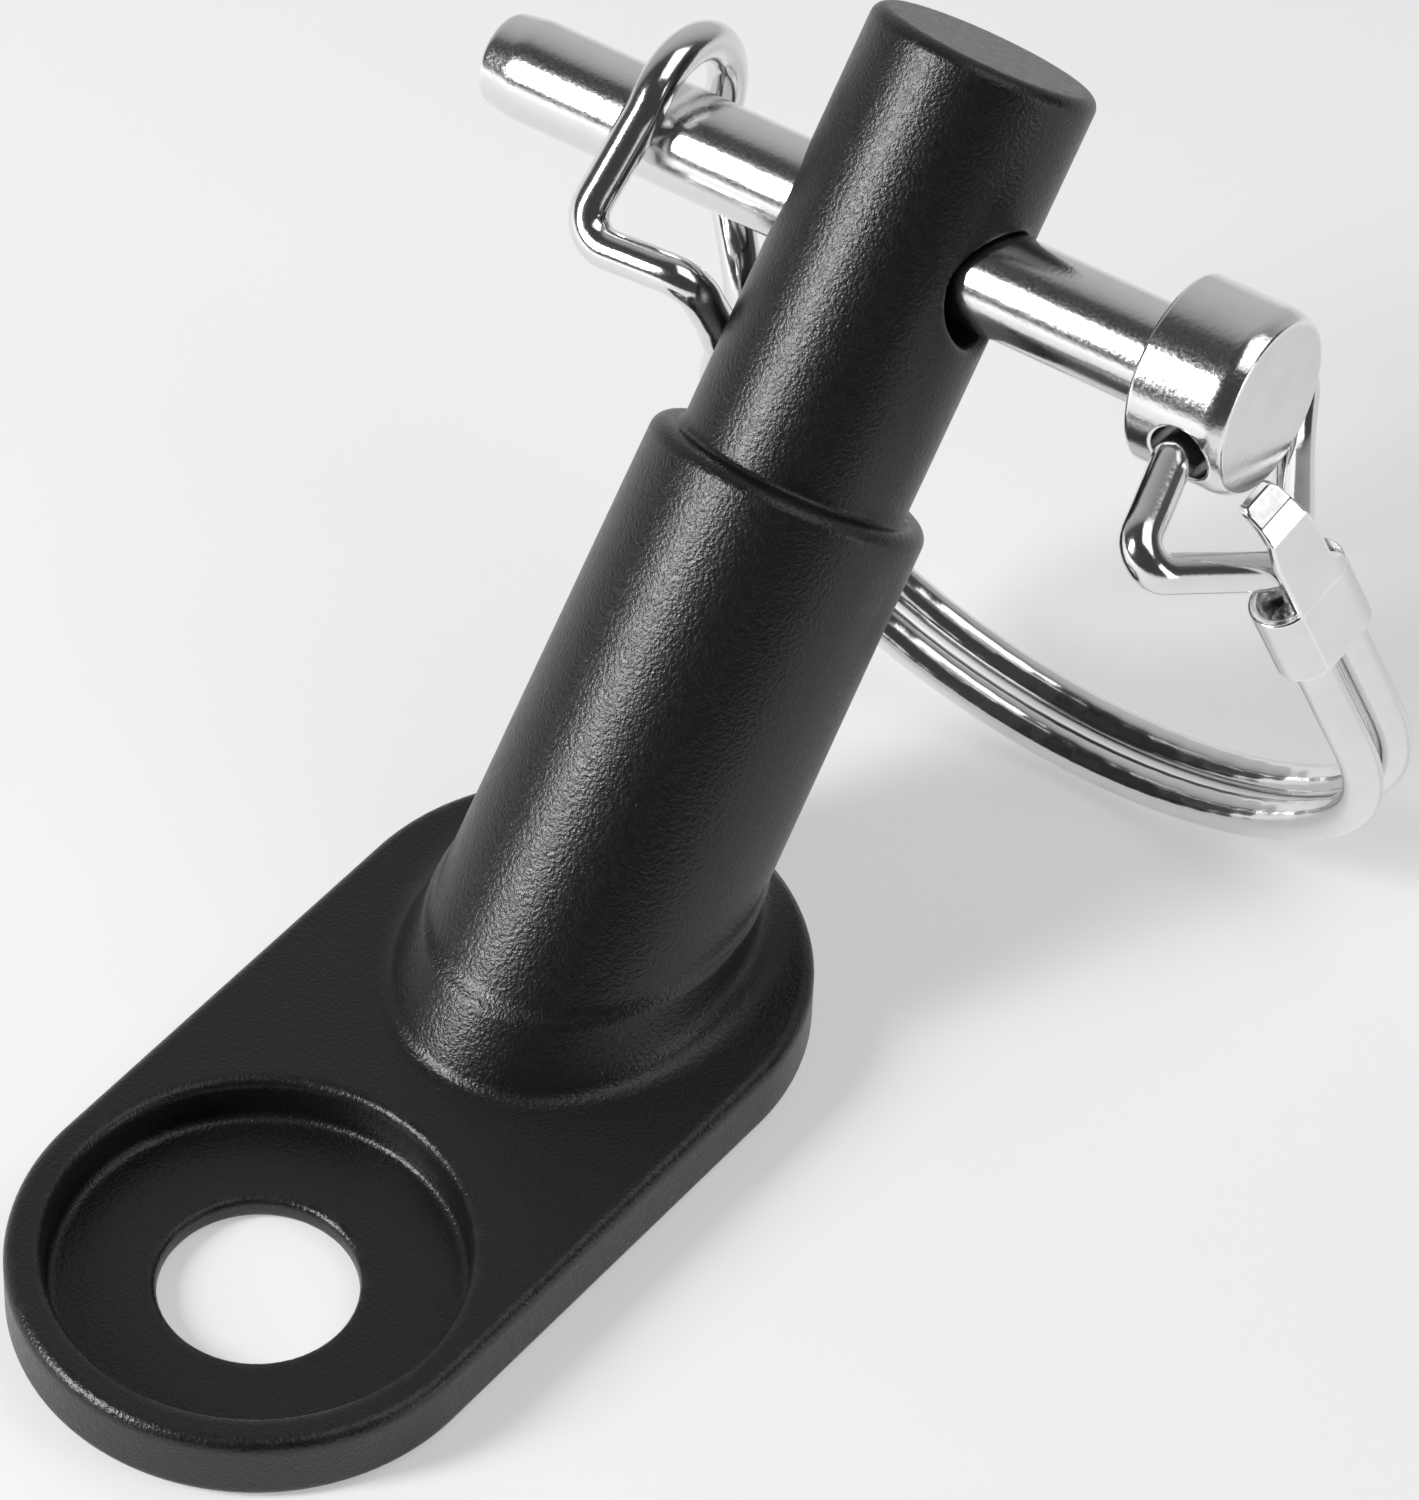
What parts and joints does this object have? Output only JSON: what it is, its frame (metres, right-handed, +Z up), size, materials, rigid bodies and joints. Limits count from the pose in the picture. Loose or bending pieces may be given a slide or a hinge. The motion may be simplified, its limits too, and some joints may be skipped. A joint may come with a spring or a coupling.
{
  "type": "bicycle trailer hitch coupler with lock pin",
  "caption": "Cast axle-mount trailer coupler with a slanted round spigot, a cross lock pin, a wire link and a spring ring that snaps over the pin tip.",
  "frame": {"origin": "on the plate's flat underside, midway between the centre of the axle hole and the centre of the plate's rounded end under the column", "axes": "+X along the plate from the axle hole toward the column, +Y across the plate to the pin's tip side, +Z up out of the plate's recessed face"},
  "size_m": [0.0874, 0.065, 0.0566],
  "materials": {
    "black_powder_coat": "satin fine-textured black powder coat",
    "bright_plate": "bright zinc plate"
  },
  "bodies": {
    "coupler": {"coupler_body": "black_powder_coat"},
    "pin": {"lock_pin": "bright_plate"},
    "link": {"link_wire": "bright_plate"},
    "ring": {"ring_wire": "bright_plate", "ring_ferrule": "bright_plate"}
  },
  "joints": [
    {"name": "pin_slide", "type": "slide", "parent": "coupler", "child": "pin", "axis": [0.0473, -0.9971, 0.0588], "range_m": [-0.0117, 0]},
    {"name": "link_swing", "type": "hinge", "parent": "pin", "child": "link", "pos_m": [0.04559, -0.02334, 0.04253], "axis": [0.9843, 0.0365, -0.1729], "range_deg": [-3, 1.5]},
    {"name": "ring_swing", "type": "hinge", "parent": "link", "child": "ring", "pos_m": [0.03953, -0.02933, 0.03814], "axis": [0.8399, -0.313, -0.4434], "range_deg": [-2.7, 5.4]}
  ],
  "couplings": [
    {"joint": "ring_swing", "follows": "link_swing", "ratio": -1.8}
  ]
}
